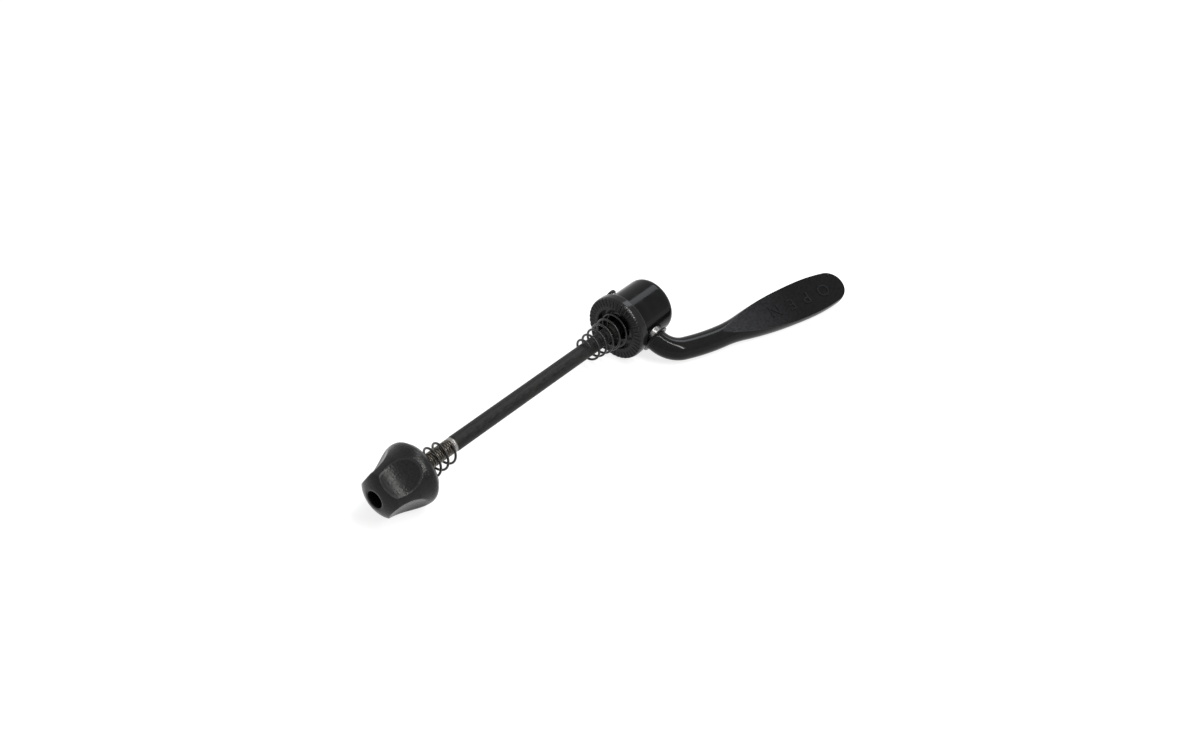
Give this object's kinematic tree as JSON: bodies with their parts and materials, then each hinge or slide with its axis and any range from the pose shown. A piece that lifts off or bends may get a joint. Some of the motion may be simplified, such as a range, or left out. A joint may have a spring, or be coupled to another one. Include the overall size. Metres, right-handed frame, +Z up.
{
  "type": "quick release skewer",
  "caption": "Quick release wheel skewer: steel rod with conical springs, serrated clamp ring and cam housing with a swinging lever, and a moulded finger nut on the far end.",
  "frame": {"origin": "on the rod's axis, in the plane of the clamp ring's serrated face", "axes": "+X along the rod from the nut to the lever, +Z up as the skewer lies on nut, ring and lever, lever root on the -Y side"},
  "size_m": [0.1801, 0.0506, 0.0216],
  "materials": {
    "rod_steel": "matte black rod, thread bare",
    "lever_paint": "semi-gloss black paint over forged steel",
    "housing_paint": "glossy black paint over turned steel",
    "ring_steel": "black, serrated face matte",
    "spring_wire": "blackened spring wire",
    "nut_plastic": "black moulded plastic, fine grain",
    "insert_steel": "dull steel, dark"
  },
  "bodies": {
    "rod": {"skewer_rod": "rod_steel"},
    "lever": {"cam_lever": "lever_paint"},
    "housing": {"cam_housing": "housing_paint", "clamp_ring": "ring_steel", "lever_spring": "spring_wire"},
    "far_spring": {"nut_spring": "spring_wire"},
    "nut": {"nut_cap": "nut_plastic", "nut_insert": "insert_steel"}
  },
  "joints": [
    {"name": "lever_swing", "type": "hinge", "parent": "rod", "child": "lever", "pos_m": [0.00913, 0, 0], "axis": [0, -0.9205, -0.3907], "range_deg": [-98, 82]},
    {"name": "housing_shift", "type": "hinge", "parent": "lever", "child": "housing", "pos_m": [0.00905, -0.00023, 0.00055], "axis": [0, -0.9205, -0.3907], "range_deg": [-82, 98]},
    {"name": "nut_travel", "type": "slide", "parent": "rod", "child": "far_spring", "axis": [1, 0, 0], "range_m": [-0.004, 0.0128]},
    {"name": "nut_spin", "type": "hinge", "parent": "far_spring", "child": "nut", "pos_m": [-0.0872, 0, 0], "axis": [1, 0, 0], "range_deg": [-1800, 5760]}
  ],
  "couplings": [
    {"joint": "housing_shift", "follows": "lever_swing", "ratio": -1},
    {"joint": "nut_travel", "follows": "nut_spin", "m_per_rad": 0.00012732}
  ]
}
